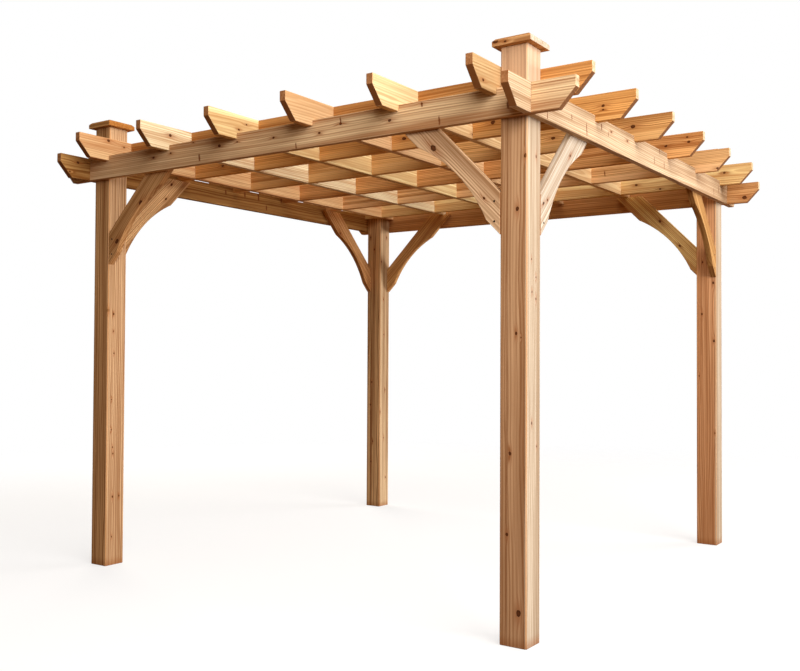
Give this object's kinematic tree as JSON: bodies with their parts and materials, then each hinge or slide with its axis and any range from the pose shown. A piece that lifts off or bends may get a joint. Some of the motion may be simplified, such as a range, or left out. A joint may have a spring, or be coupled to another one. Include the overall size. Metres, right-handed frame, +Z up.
{
  "type": "wooden pergola",
  "caption": "Free-standing square wooden pergola: capped posts, outer beams with sloped tails, a lapped open grid of rafters and curved knee braces.",
  "frame": {"origin": "on the ground at the middle of the plan, level with the posts' feet", "axes": "+X to the right along the front, +Y from front to back, +Z up"},
  "size_m": [3.57, 3.57, 2.793],
  "materials": {
    "post_wood": "planed, unpainted",
    "cap_wood": "planed, unpainted",
    "beam_wood": "planed, unpainted",
    "rafter_wood": "planed, unpainted",
    "cross_wood": "planed, unpainted",
    "brace_wood": "planed, unpainted"
  },
  "bodies": {
    "root": {"post_front_left": "post_wood", "post_front_right": "post_wood", "post_back_left": "post_wood", "post_back_right": "post_wood", "cap_front_left": "cap_wood", "cap_front_right": "cap_wood", "cap_back_left": "cap_wood", "cap_back_right": "cap_wood", "beam_front": "beam_wood", "beam_back": "beam_wood", "beam_left": "beam_wood", "beam_right": "beam_wood", "rafter_1": "rafter_wood", "rafter_2": "rafter_wood", "rafter_3": "rafter_wood", "rafter_4": "rafter_wood", "rafter_5": "rafter_wood", "rafter_6": "rafter_wood", "cross_1": "cross_wood", "cross_2": "cross_wood", "cross_3": "cross_wood", "cross_4": "cross_wood", "cross_5": "cross_wood", "cross_6": "cross_wood", "brace_front_left_x": "brace_wood", "brace_front_right_x": "brace_wood", "brace_back_left_x": "brace_wood", "brace_back_right_x": "brace_wood", "brace_front_left_y": "brace_wood", "brace_front_right_y": "brace_wood", "brace_back_left_y": "brace_wood", "brace_back_right_y": "brace_wood"}
  },
  "joints": []
}
